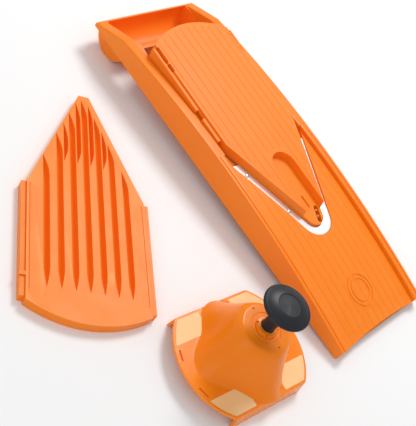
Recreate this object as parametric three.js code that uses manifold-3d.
// Mandoline slicer with a V-shaped blade, a plain slicing insert, a julienne insert and a food holder.
// Units are millimetres and +Z points up. The table is z = 0, and the origin is the middle of the
// set's box.
// The slicer lies lengthwise along +Y, with its run-out end towards -Y and its handle trough towards +Y.
// The two loose accessories lie on the table on its -X side. Until the last step, x is measured from the
// slicer's centreline and y from its run-out end.

import * as THREE from 'three';
import { mergeVertices } from 'three/addons/utils/BufferGeometryUtils.js';
import Module from 'manifold-3d';

const wasm = await Module();
wasm.setup();

// ---------------------------------------------------------------- driving dimensions

const GAP = 0.3; // air between two pieces that touch on the real object

// slicer frame, in its own tilted axes: x across, y along, z square to the bed
const LENGTH = 360;
const HALF_WIDTH = 64;
const WALL = 3;
const ARCH_Y = 190; // where the arched rails are highest
const ARCH_TOP = 25.4;
const ARCH_RADIUS = 1160;
const KNEE_Y = 327; // the rails bend down to the handle end here
const END_HEIGHT = 3.7;
const RAIL_INNER_LOW = 54.5; // inner face of the rails beside the bed
const RAIL_INNER_HIGH = 53; // inner face of the rails beside the insert
const RAIL_SPLIT_Y = 191; // the bed ends here and the open throat begins
const BED_DROP = 3.5; // bed below the rail tops
const BED_HOLLOW = 2.5; // how far the run-out edge curves in
const TROUGH_Y = 341.5;
const TROUGH_Z = -1;
const TROUGH_RADIUS = 20;
const TROUGH_HALF = 54.5;
const FOOT_X = 34;
const FOOT_Y = 7;
const FOOT_RADIUS = 4;
const FOOT_HEIGHT = 5.2;
const WALL_CLEAR = 1.6; // run-out end of the walls above the table

// blade: a V of steel strip that lies in a plane through (BLADE_Y, BLADE_Z) and rises towards +y
const BLADE_Y = 91.5;
const BLADE_Z = 16.8;
const BLADE_RISE = THREE.MathUtils.degToRad(2.3);
const V_HALF_ANGLE = THREE.MathUtils.degToRad(22.8);
const V_NOSE_RADIUS = 20; // outer edge of the blade round the nose
const BLADE_WIDTH = 8.5;
const BLADE_CLEAR = 0.4; // air between the blade's inner edge and the inserts, seen from above
const BLADE_THICK = 1.2;
const BLADE_LEG_END = 88; // length of the V along y, from the nose
const RIVET_SHANK = 1;
const RIVET_HEAD = 1.9;
const RIVET_Y = [20, 64];

// slicing insert, in axes that slope with it: its top face is z = 0
const INSERT_Y = 203;
const INSERT_Z = 28.4;
const INSERT_RISE = THREE.MathUtils.degToRad(1.36);
const INSERT_HALF = 52.3;
const PLATE_HALF = 48.3;
const SHOULDER = 0; // where the V of the insert begins
const ARC_TOP = 118; // the handle end of the insert is an arc
const ARC_CORNER = 102.5;
const ARC_RADIUS = 92;
const INSERT_DEPTH = 9.5;
const SHELL = 2.8;
const SKIRT_DEPTH = 16;
const STEP = 1.6; // side strips below the top face
const RECESS_HALF = 13.8;
const RECESS_TOP = -29;
const RECESS_DEPTH = 6.5;
const SLOTS = [[84.3, 101.5], [74.5, 82.5], [24.5, 33.5]]; // from and to, up from the shoulder

// julienne insert, flat on the table with its nose towards +y in its own axes
const JULIENNE_AT = new THREE.Vector2(-175, 215);
const JULIENNE_TURN = THREE.MathUtils.degToRad(-35);
const TIP_HALF = 4.5; // half-width of the flat tip of its V
const CHANNEL_PITCH = 11;
const LONG_HALF = 2.6; // half-width of the seven long channels
const SHORT_HALF = 1.9; // half-width of the four short ones between them at the nose
const CHANNEL_DEPTH = 5;
const CHANNEL_END = 92;
const SHORT_REACH = 76; // the short channels end this far from the tip
const JULIENNE_HEIGHT = 9;

// food holder, standing on its two skirts
const HOLDER_AT = new THREE.Vector2(-150, 46);
const HOLDER_TURN = THREE.MathUtils.degToRad(-6);
const HOLDER_RADIUS = 57;
const HOLDER_HALF = 43; // half the distance over the straight sides
const SKIRT_THICK = 2.4;
const SKIRT_FLARE = 2; // the skirts lean out by this much at the foot
const PLATE_BASE = 11;
const PLATE_TOP = 13.5;
const DOME_TOP = 50;
const DOME_TOP_RADIUS = 20;
const DOME_BASE_RADIUS = 39;
const DOME_LOBE = 0.13; // the four lobes stand out by this part of the radius at the base
const DOME_WALL = 2.4;
const COLLAR_TOP = 53;
const COLLAR_RADIUS = 9;
const STEM_RADIUS = 5.4;
const STEM_TOP = 75;
const KNOB_UNDER = 73.5; // 20 mm of clear stem below it is the plunger's stroke
const KNOB_TOP = 84;
const KNOB_RADIUS = 19;
const PUSHER_RADIUS = 15;
const PUSHER_BASE = 42;
const PUSHER_TOP = 46;
const SPIKE_COUNT = 6;
const SPIKE_CIRCLE = 11;
const SPIKE_RADIUS = 1;
const SPIKE_TIP = 31;

const ORANGE = 0xff7d1e;
const BLACK = 0x1b1c20;
const STEEL = 0xc9ccd1;
const RUBBER = 0x2a2624;

// At this pitch the trough just touches the table.
const PITCH = Math.asin((TROUGH_RADIUS - TROUGH_Z - WALL_CLEAR) / TROUGH_Y);

// ---------------------------------------------------------------- helpers

function solid(geometry) {
  const bare = geometry.clone();
  bare.deleteAttribute('normal');
  bare.deleteAttribute('uv');
  const merged = mergeVertices(bare, 1e-4);
  const mesh = new wasm.Mesh({
    numProp: 3,
    vertProperties: new Float32Array(merged.attributes.position.array),
    triVerts: new Uint32Array(merged.index.array),
  });
  return new wasm.Manifold(mesh);
}

function geometryOf(manifold) {
  const mesh = manifold.getMesh();
  const geometry = new THREE.BufferGeometry();
  geometry.setAttribute('position', new THREE.BufferAttribute(mesh.vertProperties, 3));
  geometry.setIndex(new THREE.BufferAttribute(mesh.triVerts, 1));
  return geometry;
}

function join(...geometries) {
  return geometryOf(geometries.map(solid).reduce((sum, next) => sum.add(next)));
}

function cut(geometry, ...tools) {
  return geometryOf(tools.map(solid).reduce((rest, tool) => rest.subtract(tool), solid(geometry)));
}

function polygon(points) {
  return new THREE.Shape(points.map(([x, y]) => new THREE.Vector2(x, y)));
}

// A plan outline made into a slab between two heights.
function slab(shape, bottom, top, curveSegments = 24) {
  const options = { depth: top - bottom, bevelEnabled: false, curveSegments };
  return new THREE.ExtrudeGeometry(shape, options).translate(0, 0, bottom);
}

// A side view, drawn as (y, z), made into a slab from x0 to x1.
function sideSlab(shape, x0, x1) {
  const toSide = new THREE.Matrix4().makeBasis(
    new THREE.Vector3(0, 1, 0),
    new THREE.Vector3(0, 0, 1),
    new THREE.Vector3(1, 0, 0),
  );
  const geometry = new THREE.ExtrudeGeometry(shape, { depth: x1 - x0, bevelEnabled: false });
  return geometry.applyMatrix4(toSide).translate(x0, 0, 0);
}

function box(x0, x1, y0, y1, z0, z1) {
  const geometry = new THREE.BoxGeometry(x1 - x0, y1 - y0, z1 - z0);
  return geometry.translate((x0 + x1) / 2, (y0 + y1) / 2, (z0 + z1) / 2);
}

function post(radius, x, y, z0, z1, segments = 20) {
  const geometry = new THREE.CylinderGeometry(radius, radius, z1 - z0, segments);
  return geometry.rotateX(Math.PI / 2).translate(x, y, (z0 + z1) / 2);
}

function mirrored(geometry) {
  const copy = geometry.clone().scale(-1, 1, 1);
  const count = copy.attributes.position.count;
  const index = copy.index ? Array.from(copy.index.array) : [...Array(count).keys()];
  for (let i = 0; i < index.length; i += 3) {
    [index[i], index[i + 1]] = [index[i + 1], index[i]];
  }
  copy.setIndex(index);
  return copy;
}

function bothSides(geometry) {
  return [geometry, mirrored(geometry)];
}

function mesh(name, geometry, material) {
  const result = new THREE.Mesh(geometry, material);
  result.name = name;
  return result;
}

// ---------------------------------------------------------------- materials

function orangePlastic() {
  return new THREE.MeshStandardMaterial({ color: ORANGE, roughness: 0.32, metalness: 0 });
}

function blackPlastic() {
  return new THREE.MeshStandardMaterial({ color: BLACK, roughness: 0.42, metalness: 0 });
}

function polishedSteel() {
  return new THREE.MeshStandardMaterial({ color: STEEL, roughness: 0.18, metalness: 1 });
}

function darkRubber() {
  return new THREE.MeshStandardMaterial({ color: RUBBER, roughness: 0.85, metalness: 0 });
}

// ---------------------------------------------------------------- outlines

function railTop(y) {
  return ARCH_TOP - (y - ARCH_Y) ** 2 / (2 * ARCH_RADIUS);
}

// Points along a curve that runs a constant drop below the rail tops.
function archPoints(y0, y1, drop, steps) {
  const points = [];
  for (let i = 0; i <= steps; i += 1) {
    const y = y0 + ((y1 - y0) * i) / steps;
    points.push([y, railTop(y) - drop]);
  }
  return points;
}

// Plan outline of a V with a round nose at the origin, opening towards +y.
// inset moves the outline in from the outer edge of the blade.
function vOutline(inset, length) {
  const radius = V_NOSE_RADIUS - inset;
  const centre = V_NOSE_RADIUS;
  const reach = (length - centre + radius * Math.sin(V_HALF_ANGLE)) * Math.tan(V_HALF_ANGLE);
  const side = radius * Math.cos(V_HALF_ANGLE) + reach;
  const shape = new THREE.Shape();
  shape.moveTo(side, length);
  shape.lineTo(-side, length);
  shape.absarc(0, centre, radius, Math.PI + V_HALF_ANGLE, -V_HALF_ANGLE, false);
  return shape;
}

// Half-width of that V at a distance y up from its nose.
function vHalf(inset, y) {
  const radius = V_NOSE_RADIUS - inset;
  const tangent = V_NOSE_RADIUS - radius * Math.sin(V_HALF_ANGLE);
  return radius * Math.cos(V_HALF_ANGLE) + (y - tangent) * Math.tan(V_HALF_ANGLE);
}

// Arrow-shaped outline of the slicing insert: nose towards -y, arc at the handle end, shoulder at y = 0.
function arrowOutline(half, noseInset, inset = 0) {
  const noseY = BLADE_Y - INSERT_Y;
  const v = noseInset + inset;
  const radius = V_NOSE_RADIUS - v;
  const centre = noseY + V_NOSE_RADIUS;
  const slope = Math.tan(V_HALF_ANGLE);
  const shoulderY = noseY + V_NOSE_RADIUS - radius * Math.sin(V_HALF_ANGLE)
    + (half - inset - radius * Math.cos(V_HALF_ANGLE)) / slope;
  const arcHalf = Math.asin((half - inset) / (ARC_RADIUS - inset));
  const arcCentre = ARC_TOP - ARC_RADIUS;
  const shape = new THREE.Shape();
  shape.absarc(0, arcCentre, ARC_RADIUS - inset, Math.PI / 2 - arcHalf, Math.PI / 2 + arcHalf, false);
  shape.lineTo(inset - half, shoulderY);
  shape.absarc(0, centre, radius, Math.PI + V_HALF_ANGLE, -V_HALF_ANGLE, false);
  shape.lineTo(half - inset, shoulderY);
  return shape;
}

function stadium(x0, y0, x1, y1, radius) {
  const angle = Math.atan2(y1 - y0, x1 - x0);
  const shape = new THREE.Shape();
  shape.absarc(x1, y1, radius, angle - Math.PI / 2, angle + Math.PI / 2, false);
  shape.absarc(x0, y0, radius, angle + Math.PI / 2, angle + Math.PI * 1.5, false);
  return shape;
}

// ---------------------------------------------------------------- slicer frame

function railProfile(y0, y1, z0, drop) {
  const points = archPoints(y0, Math.min(y1, KNEE_Y), drop, 26);
  if (y1 > KNEE_Y) {
    const fall = (railTop(KNEE_Y) - END_HEIGHT) / (LENGTH - KNEE_Y);
    points.push([y1, railTop(KNEE_Y) - drop - fall * (y1 - KNEE_Y)]);
  }
  return polygon([[y0, z0], [y1, z0], ...points.reverse()]);
}

function frameRails() {
  const lower = sideSlab(railProfile(0, RAIL_SPLIT_Y, 0, 0), RAIL_INNER_LOW, HALF_WIDTH);
  const upper = sideSlab(railProfile(RAIL_SPLIT_Y - 1, LENGTH, 0, 0), RAIL_INNER_HIGH, HALF_WIDTH);
  const section = railProfile(WALL, LENGTH - 12, -1, WALL);
  const hollow = sideSlab(section, RAIL_INNER_LOW + 2.5, HALF_WIDTH - WALL);
  return bothSides(cut(join(lower, upper), hollow));
}

function frameBed() {
  const top = archPoints(0, RAIL_SPLIT_Y, BED_DROP, 20);
  const bottom = archPoints(0, RAIL_SPLIT_Y, BED_DROP + WALL, 20);
  const sheet = sideSlab(polygon([...bottom, ...top.reverse()]), -RAIL_INNER_LOW - 1, RAIL_INNER_LOW + 1);
  const edgeRadius = (RAIL_INNER_LOW ** 2 + BED_HOLLOW ** 2) / (2 * BED_HOLLOW);
  const edge = post(edgeRadius, 0, BED_HOLLOW - edgeRadius, -5, 40, 256);
  const between = box(-RAIL_INNER_LOW, RAIL_INNER_LOW, -10, 10, -4, 39);
  const bite = geometryOf(solid(edge).intersect(solid(between)));
  return cut(sheet, bite);
}

function onBladePlane(geometry) {
  return geometry.rotateX(BLADE_RISE).translate(0, BLADE_Y, BLADE_Z);
}

function bladeLedge() {
  const top = -BLADE_THICK / 2 - GAP;
  const ring = slab(vOutline(-1.5, BLADE_LEG_END + 8), top - 2.2, top);
  const inside = slab(vOutline(6, BLADE_LEG_END + 20), -10, 10);
  const beyond = box(-80, 80, BLADE_LEG_END + 6, BLADE_LEG_END + 40, -10, 10);
  return onBladePlane(cut(ring, inside, beyond));
}

// The V opening: the blade's own seat, and a narrower way right through for the slices.
function throat() {
  const seat = slab(vOutline(-GAP, 130), -BLADE_THICK / 2 - GAP, 30);
  const through = slab(vOutline(6, 130), -30, 30);
  const v = onBladePlane(join(seat, through));
  const bounds = box(-RAIL_INNER_LOW, RAIL_INNER_LOW, 60, RAIL_SPLIT_Y + 10, -20, 60);
  return geometryOf(solid(v).intersect(solid(bounds)));
}

function insertLedges() {
  const ledge = box(46, RAIL_INNER_HIGH + 1, -9, 118, -SKIRT_DEPTH - GAP - 2.5, -SKIRT_DEPTH - GAP);
  return bothSides(ledge).map(onInsertPlane);
}

function trough() {
  const outer = new THREE.Shape();
  outer.moveTo(TROUGH_Y + TROUGH_RADIUS, END_HEIGHT);
  outer.lineTo(TROUGH_Y - TROUGH_RADIUS, END_HEIGHT + 2);
  outer.absarc(TROUGH_Y, TROUGH_Z, TROUGH_RADIUS, Math.PI, 0, false);
  const inner = new THREE.Shape();
  inner.moveTo(TROUGH_Y + TROUGH_RADIUS - WALL, END_HEIGHT + 20);
  inner.lineTo(TROUGH_Y - TROUGH_RADIUS + WALL, END_HEIGHT + 20);
  inner.absarc(TROUGH_Y, TROUGH_Z, TROUGH_RADIUS - WALL, Math.PI, 0, false);
  const whole = sideSlab(outer, -TROUGH_HALF, TROUGH_HALF);
  return cut(whole, sideSlab(inner, -TROUGH_HALF + WALL, TROUGH_HALF - WALL));
}

function rivetHoles(radius, depth) {
  return rivetPlaces().map(([x, y]) => post(radius, x, y, -depth, 5, 12));
}

function rivetPlaces() {
  const inset = 3.2;
  return RIVET_Y.flatMap((y) => {
    const x = vHalf(inset, y + 12);
    return [[x, y + 12], [-x, y + 12]];
  });
}

function frame() {
  const bed = cut(frameBed(), throat());
  const body = join(...frameRails(), bed, bladeLedge(), ...insertLedges(), trough());
  const holes = rivetHoles(RIVET_SHANK + GAP, 8).map(onBladePlane);
  return mesh('slicer_frame', cut(body, ...holes), orangePlastic());
}

// A foot stands upright between the table and the underside of the bed.
function foot(name, side) {
  return mesh(name, post(FOOT_RADIUS, side * FOOT_X, FOOT_Y, 0, FOOT_HEIGHT, 24), darkRubber());
}

// ---------------------------------------------------------------- blade

function blade() {
  const half = BLADE_THICK / 2;
  const strip = cut(
    slab(vOutline(0, BLADE_LEG_END), -half, half),
    slab(vOutline(BLADE_WIDTH, BLADE_LEG_END + 20), -5, 5),
    box(vHalf(0, BLADE_LEG_END) - 4.2, 80, BLADE_LEG_END - 12, BLADE_LEG_END + 1, -5, 5),
    box(-80, -vHalf(0, BLADE_LEG_END) + 4.2, BLADE_LEG_END - 12, BLADE_LEG_END + 1, -5, 5),
    ...rivetHoles(RIVET_SHANK + GAP, 5),
  );
  return mesh('v_blade', onBladePlane(strip), polishedSteel());
}

function rivet(index, [x, y]) {
  const half = BLADE_THICK / 2;
  const profile = [
    [0, -half - 2],
    [RIVET_SHANK, -half - 2],
    [RIVET_SHANK, half + GAP],
    [RIVET_HEAD, half + GAP],
    [RIVET_HEAD - 0.5, half + GAP + 0.6],
    [0, half + GAP + 0.8],
  ];
  const lathe = new THREE.LatheGeometry(profile.map(([r, z]) => new THREE.Vector2(r, z)), 16);
  const geometry = onBladePlane(lathe.rotateX(Math.PI / 2).translate(x, y, 0));
  return mesh(`blade_rivet_${index + 1}`, geometry, polishedSteel());
}

// ---------------------------------------------------------------- slicing insert

function onInsertPlane(geometry) {
  return geometry.rotateX(INSERT_RISE).translate(0, INSERT_Y, INSERT_Z);
}

function recessOutline(half, top) {
  const shape = new THREE.Shape();
  shape.absarc(0, top - half, half, 0, Math.PI, false);
  shape.lineTo(-half, -140);
  shape.lineTo(half, -140);
  return shape;
}

function insertSkirt() {
  const skirt = box(INSERT_HALF - SHELL, INSERT_HALF, SHOULDER, ARC_CORNER - 1, -SKIRT_DEPTH, -STEP);
  const strip = box(PLATE_HALF - 4, INSERT_HALF, SHOULDER, ARC_CORNER - 1, -STEP - 2.4, -STEP);
  const slots = SLOTS.map(([y0, y1]) => box(PLATE_HALF, PLATE_HALF + 2.6, y0, y1, -20, 5));
  return join(skirt, cut(strip, ...slots));
}

function insertGeometry() {
  const noseInset = BLADE_WIDTH + BLADE_CLEAR;
  const block = slab(arrowOutline(PLATE_HALF, noseInset), -INSERT_DEPTH, 0, 40);
  const pocket = slab(arrowOutline(PLATE_HALF, noseInset, SHELL), -INSERT_DEPTH - 1, -SHELL, 40);
  const rib = slab(recessOutline(RECESS_HALF + SHELL, RECESS_TOP + SHELL), -INSERT_DEPTH - 2, SHELL, 24);
  const recess = slab(recessOutline(RECESS_HALF, RECESS_TOP), -RECESS_DEPTH, 5, 24);
  const slot = slab(stadium(7.5, -88, 2.5, -99, 2.4), -20, 5, 8);
  const groove = slab(stadium(0.5, -74, 0.5, -84, 1.3), -RECESS_DEPTH - 1, 5, 8);
  const shell = cut(block, cut(pocket, rib), recess, slot, groove);
  return join(shell, ...bothSides(insertSkirt()));
}

function slicingInsert() {
  return mesh('slicing_insert', onInsertPlane(insertGeometry()), orangePlastic());
}

// ---------------------------------------------------------------- julienne insert

const TIP_Y = BLADE_Y - INSERT_Y + BLADE_WIDTH + BLADE_CLEAR;

// Straight sides run from the shoulders to a narrow flat tip; the handle end is the same arc as on the
// slicing insert.
function julienneOutline() {
  const spread = Math.asin(PLATE_HALF / ARC_RADIUS);
  const shape = new THREE.Shape();
  shape.absarc(0, ARC_TOP - ARC_RADIUS, ARC_RADIUS, Math.PI / 2 - spread, Math.PI / 2 + spread, false);
  shape.lineTo(-PLATE_HALF, SHOULDER);
  shape.lineTo(-TIP_HALF, TIP_Y);
  shape.lineTo(TIP_HALF, TIP_Y);
  shape.lineTo(PLATE_HALF, SHOULDER);
  return shape;
}

// Where the sharp end of the channel at x stops short of the V edge.
function channelStart(x) {
  const slope = (SHOULDER - TIP_Y) / (PLATE_HALF - TIP_HALF);
  const edge = TIP_Y + (Math.abs(x) - TIP_HALF) * slope;
  return Math.max(edge + 7, TIP_Y + 5);
}

function channel(x, half, end) {
  const start = channelStart(x);
  const shape = polygon([
    [x, start],
    [x + half * 0.7, start + 6],
    [x + half, start + 15],
    [x + half, end - 14],
    [x, end],
    [x - half, end - 14],
    [x - half, start + 15],
    [x - half * 0.7, start + 6],
  ]);
  return slab(shape, JULIENNE_HEIGHT - CHANNEL_DEPTH, JULIENNE_HEIGHT + 5);
}

function channels() {
  const long = [-3, -2, -1, 0, 1, 2, 3].map((k) => channel(k * CHANNEL_PITCH, LONG_HALF, CHANNEL_END));
  const shortEnd = TIP_Y + SHORT_REACH;
  const short = [-1.5, -0.5, 0.5, 1.5].map((k) => channel(k * CHANNEL_PITCH, SHORT_HALF, shortEnd));
  return [...long, ...short];
}

function laidOut(geometry, place, turn) {
  return geometry.rotateZ(turn).translate(place.x, place.y, 0);
}

// The insert is drawn nose down and lies with its nose up, so it turns half way round first.
function onTable(geometry) {
  return laidOut(geometry.rotateZ(Math.PI), JULIENNE_AT, JULIENNE_TURN);
}

function julienneGeometry() {
  const plate = slab(julienneOutline(), 0, JULIENNE_HEIGHT, 40);
  const flange = box(PLATE_HALF - 2, INSERT_HALF, SHOULDER, ARC_CORNER - 1, 0, JULIENNE_HEIGHT - STEP);
  const catchBar = box(PLATE_HALF - 1, INSERT_HALF + 0.8, 82, 86, JULIENNE_HEIGHT - 4, JULIENNE_HEIGHT);
  return cut(join(plate, ...bothSides(flange), catchBar), ...channels());
}

function julienneInsert() {
  return mesh('julienne_insert', onTable(julienneGeometry()), orangePlastic());
}

// ---------------------------------------------------------------- food holder

// A closed solid through rings of equal point count, from the lowest up.
function loft(rings) {
  const count = rings[0].length;
  const points = rings.flat();
  const index = [];
  for (let ring = 0; ring < rings.length - 1; ring += 1) {
    for (let i = 0; i < count; i += 1) {
      const a = ring * count + i;
      const b = ring * count + ((i + 1) % count);
      index.push(a, b, b + count, a, b + count, a + count);
    }
  }
  const last = (rings.length - 1) * count;
  for (let i = 1; i < count - 1; i += 1) {
    index.push(0, i + 1, i);
    index.push(last, last + i, last + i + 1);
  }
  const geometry = new THREE.BufferGeometry();
  geometry.setAttribute('position', new THREE.Float32BufferAttribute(points.flat(), 3));
  geometry.setIndex(index);
  return geometry;
}

// Four-lobed dome; inset moves its skin inwards. Lobes point along x and y and fade out towards the top.
function dome(inset, bottom) {
  const top = DOME_TOP - inset;
  const rings = [];
  const steps = 9;
  for (let i = 0; i <= steps; i += 1) {
    const z = bottom + ((top - bottom) * i) / steps;
    const down = Math.min(1, Math.max(0, (top - z) / (DOME_TOP - PLATE_TOP)));
    const flare = 0.55 * Math.sqrt(down) + 0.45 * down ** 2;
    const mean = DOME_TOP_RADIUS + (DOME_BASE_RADIUS - DOME_TOP_RADIUS) * flare - inset;
    const ring = [];
    for (let k = 0; k < 48; k += 1) {
      const angle = (k / 48) * 2 * Math.PI;
      const r = mean * (1 + DOME_LOBE * down * Math.cos(4 * angle));
      ring.push([r * Math.cos(angle), r * Math.sin(angle), z]);
    }
    rings.push(ring);
  }
  return loft(rings);
}

function holderPlate() {
  const disc = post(HOLDER_RADIUS, 0, 0, PLATE_BASE, PLATE_TOP, 72);
  const between = box(-80, 80, -HOLDER_HALF, HOLDER_HALF, 0, 20);
  return geometryOf(solid(disc).intersect(solid(between)));
}

// One turned-down skirt along a straight side, leaning out towards its foot.
function holderSkirt() {
  const half = Math.sqrt(HOLDER_RADIUS ** 2 - HOLDER_HALF ** 2) - 0.5;
  const section = polygon([
    [HOLDER_HALF - SKIRT_THICK, PLATE_TOP],
    [HOLDER_HALF + SKIRT_FLARE - SKIRT_THICK, 0],
    [HOLDER_HALF + SKIRT_FLARE, 0],
    [HOLDER_HALF, PLATE_TOP],
  ]);
  return sideSlab(section, -half, half);
}

function holderSlit(sign) {
  const angle = Math.PI + sign * THREE.MathUtils.degToRad(17);
  const slit = box(-0.8, 0.8, -4.5, 4.5, 0, 20).rotateZ(angle);
  return slit.translate(53 * Math.cos(angle), 53 * Math.sin(angle), 0);
}

function inHolder(geometry) {
  return laidOut(geometry, HOLDER_AT, HOLDER_TURN);
}

function holderShell() {
  const skirt = holderSkirt();
  const skin = join(holderPlate(), dome(0, PLATE_BASE), skirt, skirt.clone().rotateZ(Math.PI));
  const hollow = dome(DOME_WALL, PLATE_BASE - 1);
  const shell = cut(
    skin,
    hollow,
    post(STEM_RADIUS + GAP, 0, 0, 30, 60, 24),
    holderSlit(-1),
    holderSlit(1),
  );
  return mesh('holder_shell', inHolder(shell), orangePlastic());
}

function turned(profile, segments) {
  const points = profile.map(([r, z]) => new THREE.Vector2(r, z));
  return inHolder(new THREE.LatheGeometry(points, segments).rotateX(Math.PI / 2));
}

function holderCollar() {
  const inner = STEM_RADIUS + GAP;
  const base = DOME_TOP + GAP;
  const profile = [
    [inner, base],
    [COLLAR_RADIUS, base],
    [COLLAR_RADIUS, COLLAR_TOP - 1],
    [COLLAR_RADIUS - 1, COLLAR_TOP],
    [inner, COLLAR_TOP],
    [inner, base],
  ];
  return mesh('holder_collar', turned(profile, 32), orangePlastic());
}

function plungerStem() {
  const base = PUSHER_TOP + GAP;
  const profile = [[0, base], [STEM_RADIUS, base], [STEM_RADIUS, STEM_TOP], [0, STEM_TOP]];
  return mesh('plunger_stem', turned(profile, 24), blackPlastic());
}

function plungerKnob() {
  const hub = STEM_RADIUS + GAP;
  const profile = [
    [0, STEM_TOP + GAP],
    [hub, STEM_TOP + GAP],
    [hub, KNOB_UNDER],
    [hub + 3, KNOB_UNDER],
    [KNOB_RADIUS - 2, KNOB_TOP - 6],
    [KNOB_RADIUS, KNOB_TOP - 4.5],
    [KNOB_RADIUS, KNOB_TOP - 3.2],
    [KNOB_RADIUS - 1.5, KNOB_TOP - 2],
    [12, KNOB_TOP - 0.3],
    [7, KNOB_TOP],
    [0, KNOB_TOP],
  ];
  return mesh('plunger_knob', turned(profile, 40), blackPlastic());
}

function spikePlaces() {
  return [...Array(SPIKE_COUNT).keys()].map((k) => {
    const angle = ((k + 0.5) / SPIKE_COUNT) * 2 * Math.PI;
    return [SPIKE_CIRCLE * Math.cos(angle), SPIKE_CIRCLE * Math.sin(angle)];
  });
}

function pusherPlate() {
  const disc = post(PUSHER_RADIUS, 0, 0, PUSHER_BASE, PUSHER_TOP, 36);
  const sockets = spikePlaces().map(([x, y]) => (
    post(SPIKE_RADIUS + GAP, x, y, PUSHER_BASE - 1, PUSHER_TOP - 1, 12)
  ));
  return mesh('pusher_plate', inHolder(cut(disc, ...sockets)), blackPlastic());
}

function spike(index, [x, y]) {
  const profile = [
    [0, SPIKE_TIP],
    [SPIKE_RADIUS, SPIKE_TIP + 3],
    [SPIKE_RADIUS, PUSHER_TOP - 1 - GAP],
    [0, PUSHER_TOP - 1 - GAP],
  ];
  const points = profile.map(([r, z]) => new THREE.Vector2(r, z));
  const pin = new THREE.LatheGeometry(points, 12).rotateX(Math.PI / 2).translate(x, y, 0);
  return mesh(`spike_${index + 1}`, inHolder(pin), polishedSteel());
}

// ---------------------------------------------------------------- assembly

const slicer = new THREE.Group();
slicer.rotation.x = PITCH;
slicer.position.z = WALL_CLEAR;
slicer.add(frame(), blade());
rivetPlaces().forEach((place, index) => slicer.add(rivet(index, place)));
slicer.add(slicingInsert());

const set = new THREE.Group();
set.add(slicer, foot('foot_left', -1), foot('foot_right', 1), julienneInsert());
set.add(holderShell(), holderCollar(), plungerStem(), plungerKnob(), pusherPlate());
spikePlaces().forEach((place, index) => set.add(spike(index, place)));

const bounds = new THREE.Box3().setFromObject(set, true);
const middle = bounds.getCenter(new THREE.Vector3());
set.position.set(-middle.x, -middle.y, -bounds.min.z);

const group = new THREE.Group();
group.name = 'mandoline_slicer';
group.add(set);

export default group;
